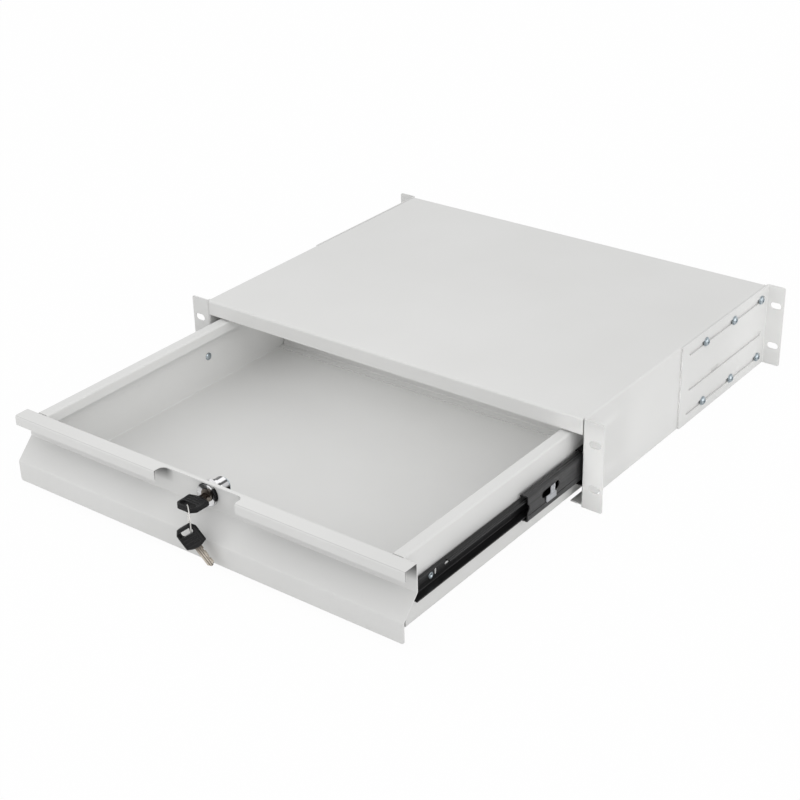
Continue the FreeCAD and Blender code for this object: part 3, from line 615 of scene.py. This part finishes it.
def turned(radius, along, origin, axis, across, up, angles):
    """Rings origin + axis * along + (across * cos a + up * sin a) * radius.

    Both radius and along have one value for each ring, or one for each ring and angle.
    """
    even = (len(along), len(angles))
    radius = np.broadcast_to(np.asarray(radius, dtype=float).reshape(len(along), -1), even)
    along = np.broadcast_to(np.asarray(along, dtype=float).reshape(len(along), -1), even)
    spoke = np.cos(angles)[:, None] * across + np.sin(angles)[:, None] * up
    return origin + along[:, :, None] * axis + radius[:, :, None] * spoke[None]


def piece(name, shells, material, body, slot, *replaced):
    """One object from several shells, smooth but for its sharp corners, riding on a body."""
    points, faces, start = [], [], 0
    for shell_points, quads, fans in shells:
        points.append(shell_points)
        faces += (quads + start).tolist() + (fans + start).tolist()
        start += len(shell_points)
    data = bpy.data.meshes.new(name)
    data.from_pydata((np.vstack(points) * MM).tolist(), [], faces)
    data.materials.append(material)
    data.polygons.foreach_set("use_smooth", np.ones(len(data.polygons), dtype=bool))
    data.set_sharp_from_angle(angle=math.radians(32))
    data.update()
    made = bpy.data.objects.new(name, data)
    bpy.context.scene.collection.objects.link(made)
    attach(made, body)
    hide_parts(*replaced)


def even_angles(count):
    return np.arange(count) * 2 * math.pi / count


# Fasteners
def cross_outline(angles, half_width, reach):
    """Radius of a cross at each angle: the arm's end near an arm's axis, else the arm's side."""
    off_axis = np.abs((angles + math.pi / 4) % (math.pi / 2) - math.pi / 4)
    arm_end = reach / np.cos(off_axis)
    arm_side = half_width / np.maximum(np.sin(off_axis), 1e-6)
    return np.minimum(arm_end, arm_side)


def cross_head(origin, axis, across, up, radius, height, outline):
    """A pan head with a cross recess.

    Rings run from the recess floor over its mouth and the dome, which is the height times
    1 - 0.5 * (r / R)^3, to the head's side, then down the outline to the pole at its end.
    """
    corner = math.atan2(*recess_mouth)
    arms = np.arange(4) * math.pi / 2
    arm_corners = np.concatenate((arms + corner, arms - corner)) % (2 * math.pi)
    angles = np.unique(np.round(np.concatenate((even_angles(48), arm_corners)), 6))

    def dome(ring):
        return height * (1.0 - dome_drop * (ring / radius) ** 3)

    def even(values):
        return np.repeat(values[:, None], len(angles), axis=1)

    floor = cross_outline(angles, *(share * radius for share in recess_floor))
    mouth = cross_outline(angles, *(share * radius for share in recess_mouth))
    share = np.linspace(0.0, 1.0, 7)[:, None]
    crown = mouth * (1 - share) + radius * share
    lower = np.array(outline)
    floor_place = np.full((1, len(angles)), height - recess_depth * radius)
    rings = np.vstack((floor[None], crown, even(lower[:, 0])))
    places = np.vstack((floor_place, dome(crown), even(lower[:, 1])))
    poles = np.array((
        origin + axis * (height - recess_tip * radius), origin + axis * lower[-1, 1],
    ))
    return shell(turned(rings, places, origin, axis, across, up, angles), poles)


def bracket_screw(side, y, z):
    """A pan head with captive washer; the shank runs inward to the end of the nut."""
    origin = np.array((side * bracket_face, y, z))
    return cross_head(
        origin, across_x * side, along_y, upward, screw_head, screw_head_height, screw_outline,
    )


def cam_screw():
    """A pan head on the rear of the cam, with a short shank in the plug."""
    return cross_head(
        lock_axis + along_y * cam_face, along_y, across_x, upward,
        cam_screw_head, cam_screw_head_height, cam_screw_outline,
    )


def slide_rivet(side, y, z):
    """A lathe outline: domed head, shank, flat tail with a punched dimple."""
    radius, along = np.array(rivet_outline).T
    origin = np.array((side * rivet_crown, y, z))
    axis = across_x * side
    poles = np.array((origin, origin + axis * rivet_dimple))
    return shell(turned(radius, along, origin, axis, along_y, upward, even_angles(40)), poles)


for side, hand in hands:
    screws = [bracket_screw(side, y, z) for y, z in screw_places]
    piece("screws_" + hand, screws, bright_zinc, "housing", "zinc", "bracket_screws_" + hand)
rivets = [slide_rivet(side, y, z) for side in (-1, 1) for y, z in rivet_places]
piece("slide_rivets", rivets, bright_zinc, "drawer", "zinc", "drawer_slide_rivets")
piece("cam_screw_head", [cam_screw()], bright_zinc, "lock", "zinc", "cam_screw")


# Balls
def round_ball(side, centre):
    """A sphere: radius r * sin(latitude) at r * cos(latitude) along Y."""
    latitude = np.linspace(0, math.pi, 11)[1:-1]
    across, along, height = centre
    origin = np.array((side * across, along, height))
    radius, place = ball_radius * np.sin(latitude), ball_radius * np.cos(latitude)
    poles = np.array((origin + along_y * ball_radius, origin - along_y * ball_radius))
    return shell(turned(radius, place, origin, along_y, across_x, upward, even_angles(20)), poles)


for side, hand in hands:
    for row, places in (("outer", outer_ball_places), ("inner", inner_ball_places)):
        piece(
            "round_%s_balls_%s" % (row, hand), [round_ball(side, place) for place in places],
            ball_chrome, "%s_cage_%s" % (row, hand), "ball_steel", "%s_balls_%s" % (row, hand),
        )


# Lock barrel
def turned_barrel():
    """A lathe outline closed on itself: bore, dished face, rounded rim, threaded body, tail.

    The thread is a triangle wave of place / pitch - angle / turn, and the body's two flats cap
    the radius at flat / |cos angle|.
    """
    angles = even_angles(144)
    turn = angles / (2 * math.pi)
    dish = np.linspace(0.0, 1.0, 7)
    dish_radius = plug_bore + (bezel_lip - plug_bore) * dish
    dish_place = dish_bottom + (bezel_front + dish_rim - dish_bottom) * dish ** dish_curve
    bend = np.linspace(0.0, math.pi / 2, 7)
    rim = bezel_radius - bezel_lip
    rim_radius = bezel_lip + rim * np.sin(bend)
    rim_place = bezel_front + rim * rim_stretch * (1 - np.cos(bend))
    flank_radius, flank_place = np.array([
        (bezel_radius, panel_front - bezel_edge), (bezel_radius - bezel_step, panel_front),
    ]).T
    thread_place = np.arange(panel_front, barrel_flats_end + 0.01, thread_pitch / 4)
    wave = np.abs(((thread_place[:, None] / thread_pitch - turn[None]) % 1.0) * 2 - 1)
    flat_cap = barrel_flat / np.maximum(np.abs(np.cos(angles)), 1e-6)
    thread = np.minimum(barrel_radius - thread_depth * wave, flat_cap[None])
    tail_radius, tail_place = np.array([
        (barrel_flat, barrel_flats_end), (barrel_flat, barrel_rear - barrel_bevel),
        (barrel_flat - barrel_bevel, barrel_rear),
        (plug_bore, barrel_rear), (plug_bore, dish_bottom + dish_foot),
    ]).T

    def even(radius):
        return np.repeat(radius[:, None], len(angles), axis=1)

    before_thread = even(np.concatenate((dish_radius, rim_radius, flank_radius)))
    radius = np.vstack((before_thread, thread, even(tail_radius)))
    place = np.concatenate((dish_place, rim_place, flank_place, thread_place, tail_place))
    return shell(turned(radius, place, lock_axis, along_y, across_x, upward, angles))


piece("turned_barrel", [turned_barrel()], lock_chrome_painted_reflections, "drawer", "lock_chrome", "lock_barrel")


# Keys, in their own frame: across, along the blade, through the thickness
def smooth_step(value, low, high):
    share = np.clip((value - low) / (high - low), 0, 1)
    return share * share * (3 - 2 * share)


def bow_outline(angles):
    """Radius from the slot's centre to an eight-sided outline, eased by a power mean."""
    half, depth, top = bow_half_width, bow_length + slot_centre, -slot_centre
    slope = math.atan2(half - bow_top_half, bow_shoulder)
    shoulder = half * math.cos(slope) + (top - bow_shoulder) * math.sin(slope)
    corner = math.pi / 4
    corner_reach = (half + depth - bow_corner_cut) * math.cos(corner)
    sides = [
        (0.0, half), (math.pi, half), (-math.pi / 2, depth), (math.pi / 2, top),
        (slope, shoulder), (math.pi - slope, shoulder),
        (-corner, corner_reach), (corner - math.pi, corner_reach),
    ]
    power = bow_corner_power
    total = sum(
        np.maximum(np.cos(angles - way), 0) ** power / reach ** power for way, reach in sides
    )
    return total ** (-1 / power)


def slot_outline(angles):
    """Radius from the slot's centre to a long hole with half-round ends."""
    reach = slot_half_length - slot_half_width
    cosine, sine = np.abs(np.cos(angles)), np.abs(np.sin(angles))
    side = slot_half_width / np.maximum(sine, 1e-6)
    end = reach * cosine + np.sqrt(np.maximum(slot_half_width**2 - (reach * sine) ** 2, 0))
    return np.where(side * cosine < reach, side, end)


def bow_height(x, y, from_edge, from_slot):
    """Half thickness of the bow: a bevel at the edge, a rounded rim at the slot, long grooves."""
    bevel = bow_bevel_depth * (1 - smooth_step(from_edge, 0.0, bow_bevel))
    rim = slot_rim_height * (1 - smooth_step(from_slot, *slot_rim_edges))
    rounding = slot_rim_height * (1 - smooth_step(from_slot, 0.0, slot_rounding))
    height = bow_half_thickness - slot_rim_height - bevel + rim - rounding
    groove_reach = smooth_step(groove_half_length - np.abs(x), 0.0, groove_fade)
    for place in groove_places:
        inside = groove_reach * (1 - smooth_step(np.abs(y - place), *groove_sides))
        height = height - groove_depth * inside
    return height


def key_bow(frame_of_key):
    """Rays from the slot's edge to the outline, over the top face, down the side and back."""
    angles = even_angles(200)
    outer, inner = bow_outline(angles), slot_outline(angles)
    share = np.linspace(0.0, 1.0, 34)[:, None]
    ray = inner + (outer - inner) * share
    x, y = ray * np.cos(angles), ray * np.sin(angles) + slot_centre
    z = bow_height(x, y, outer - ray, ray - inner)
    top = np.stack((x, y, z), -1)
    under = np.stack((x, y, -z), -1)[::-1]
    return shell(in_place(np.vstack((top, under)), frame_of_key))


def key_blade(frame_of_key):
    """Sections along the blade: steps cut in one edge, a groove in each face, a tapered tip.

    Each cut's depth goes with 1 + cos(2.3 * its number), and each groove's with
    exp(-(distance / half width)^4).
    """
    place = np.linspace(blade_start, blade_end, 90)[:, None]
    tip = smooth_step(blade_end - place, 0.0, blade_tip)
    step = (place - cut_start) / cut_pitch
    steps = 0.5 + 0.5 * np.cos(cut_turn * np.floor(step))
    ramped = smooth_step(np.abs(step % 1.0 - 0.5), 0.5, 0.3)
    bite = cut_depth * steps * ramped * (place > cut_start) * (place < cut_end)
    half = (blade_half_width - blade_tip_half) * tip + blade_tip_half
    turn = even_angles(48)
    square = np.maximum(np.abs(np.cos(turn)), np.abs(np.sin(turn)))
    u, v = np.cos(turn) / square, np.sin(turn) / square
    x = np.where(u > 0, (half - bite) * u, half * u)
    top_groove = np.exp(-(((x - blade_groove_top) / blade_groove_half) ** 4)) * (v > 0)
    under_groove = np.exp(-(((x - blade_groove_under) / blade_groove_half) ** 4)) * (v < 0)
    groove = (top_groove + under_groove) * (place < blade_groove_end)
    z = blade_half_thickness * v - blade_groove_depth * groove * np.sign(v)
    rings = np.stack((x, np.broadcast_to(place, x.shape), z), -1)
    poles = np.array(((0.0, blade_start, 0.0), (0.0, blade_end, 0.0)))
    return shell(in_place(rings, frame_of_key), in_place(poles, frame_of_key))


def in_place(points, frame_of_key):
    """origin + across * x + along * y + thick * z"""
    across, along, origin = frame_of_key
    thick = np.cross(across, along)
    return origin + points[..., :1] * across + points[..., 1:2] * along + points[..., 2:] * thick


for count, key_frame in key_frames.items():
    body = "key_" + count
    bow, blade = [key_bow(key_frame)], [key_blade(key_frame)]
    piece("moulded_bow_" + count, bow, plastic, body, "key_plastic", body + "_bow")
    piece("cut_blade_" + count, blade, blade_metals[count], body, "key_metal", body + "_blade")


def wire_ring():
    """A torus: (R + r cos a) along the spoke, r sin a along the ring's axis."""
    section = even_angles(16)
    axis = np.array((-math.sin(ring_turn), math.cos(ring_turn), 0.0))
    level = np.cross(axis, upward)
    radius, along = ring_radius + wire_radius * np.cos(section), wire_radius * np.sin(section)
    return shell(turned(radius, along, ring_centre, axis, level, upward, even_angles(120)))


piece("wire_ring", [wire_ring()], ring_metal, "key_ring", "ring_steel", "key_ring")


# Camera, solved from the photograph's straight edges
focal_pixels = 1662.4815
picture_pixels = 800
camera_turn = Vector((1.97884947, 0.64960591, -0.42149888))
camera_shift = Vector((-15.534711, 36.196609, 1590.570640))
frame_offset = Vector((0, 1.2, 44.05))
camera_rotation = Matrix.Rotation(camera_turn.length, 3, camera_turn.normalized())
camera_place = -(camera_rotation.transposed() @ camera_shift) - frame_offset

lens = bpy.data.cameras.new("camera")
lens.sensor_width = 36.0
lens.lens = focal_pixels / picture_pixels * lens.sensor_width
lens.clip_start = 0.05
lens.clip_end = 50.0
camera = bpy.data.objects.new("camera", lens)
bpy.context.scene.collection.objects.link(camera)
axes = Matrix((camera_rotation[0], -camera_rotation[1], -camera_rotation[2])).transposed()
camera.matrix_world = Matrix.Translation(camera_place * MM) @ axes.to_4x4()
bpy.context.scene.camera = camera


# Floor and light, in metres
floor_gap = 0.0002
floor_half = 6.0
sky_strength = 0.87
backdrop_strength = 1.0


def stage_floor(height, half):
    """A flat square under the part."""
    corners = [(x * half, y * half, height) for x, y in ((-1, -1), (1, -1), (1, 1), (-1, 1))]
    data = bpy.data.meshes.new("floor")
    data.from_pydata(corners, [], [(0, 1, 2, 3)])
    data.materials.append(stage_material("pale_floor"))
    floor = bpy.data.objects.new("floor", data)
    bpy.context.scene.collection.objects.link(floor)


def new_lamp(name, kind):
    data = bpy.data.lights.new(name, kind)
    lamp = bpy.data.objects.new(name, data)
    bpy.context.scene.collection.objects.link(lamp)
    return lamp


def soft_light(name, place, target, size, watts):
    """A square area light that looks at a point."""
    lamp = new_lamp(name, "AREA")
    lamp.data.energy = watts
    lamp.data.size = size
    lamp.location = place
    lamp.rotation_euler = (Vector(target) - Vector(place)).to_track_quat("-Z", "Y").to_euler()
    return lamp


def hidden_light(name, place, target, size, watts, spread_deg=180):
    """A soft light that neither the camera nor a reflection sees."""
    lamp = soft_light(name, place, target, size, watts)
    lamp.data.spread = math.radians(spread_deg)
    lamp.visible_camera = False
    lamp.visible_glossy = False
    return lamp


def even_light(name, toward_light, strength, width_deg):
    """Parallel light from a wide patch of sky, as strong as a white wall that it meets head on."""
    lamp = new_lamp(name, "SUN")
    lamp.data.energy = strength * math.pi
    lamp.data.angle = math.radians(width_deg)
    lamp.rotation_euler = Vector(toward_light).to_track_quat("Z", "Y").to_euler()


stage_floor(cad_box[0][2] - floor_gap, floor_half)
even_light("side_light", (1.0, -0.25, 0.35), strength=0.25, width_deg=60)
soft_light("left_light", (-0.9, -1.1, 0.35), (-0.1, -0.2, 0), size=0.6, watts=1.5)
hidden_light("opening_light", (0, -0.20, 0.32), (0, 0.05, 0), size=0.2, watts=0.165)
bay_light = hidden_light(
    "bay_light", (0, 0.055, 0.0385), (0, 0.056, -0.04), size=0.36, watts=0.062,
)
bay_light.data.shape = "RECTANGLE"
bay_light.data.size_y = 0.06
hidden_light(
    "ear_light", (0.33, -0.33, 0.0), (0.232, 0.02, -0.006), size=0.03, watts=0.008, spread_deg=22,
)
hidden_light(
    "rear_ear_light", (0.34, 0.16, 0), (0.236, 0.44, 0), size=0.05, watts=0.013, spread_deg=60,
)

# A plain white world, a little weaker as light than as what the camera and reflections see
world = bpy.data.worlds.new("studio")
bpy.context.scene.world = world
world.use_nodes = True
nodes, links = world.node_tree.nodes, world.node_tree.links
nodes.clear()
world_output = nodes.new("ShaderNodeOutputWorld")
background = nodes.new("ShaderNodeBackground")
background.inputs["Color"].default_value = (1, 1, 1, 1)
path = nodes.new("ShaderNodeLightPath")
seen = nodes.new("ShaderNodeMath")
seen.operation = "MAXIMUM"
links.new(path.outputs["Is Camera Ray"], seen.inputs[0])
links.new(path.outputs["Is Glossy Ray"], seen.inputs[1])
strength = nodes.new("ShaderNodeMix")
strength.data_type = "FLOAT"
strength.inputs["A"].default_value = sky_strength
strength.inputs["B"].default_value = backdrop_strength
links.new(seen.outputs[0], strength.inputs["Factor"])
links.new(strength.outputs["Result"], background.inputs["Strength"])
links.new(background.outputs["Background"], world_output.inputs["Surface"])

bpy.context.scene.view_settings.view_transform = "Standard"
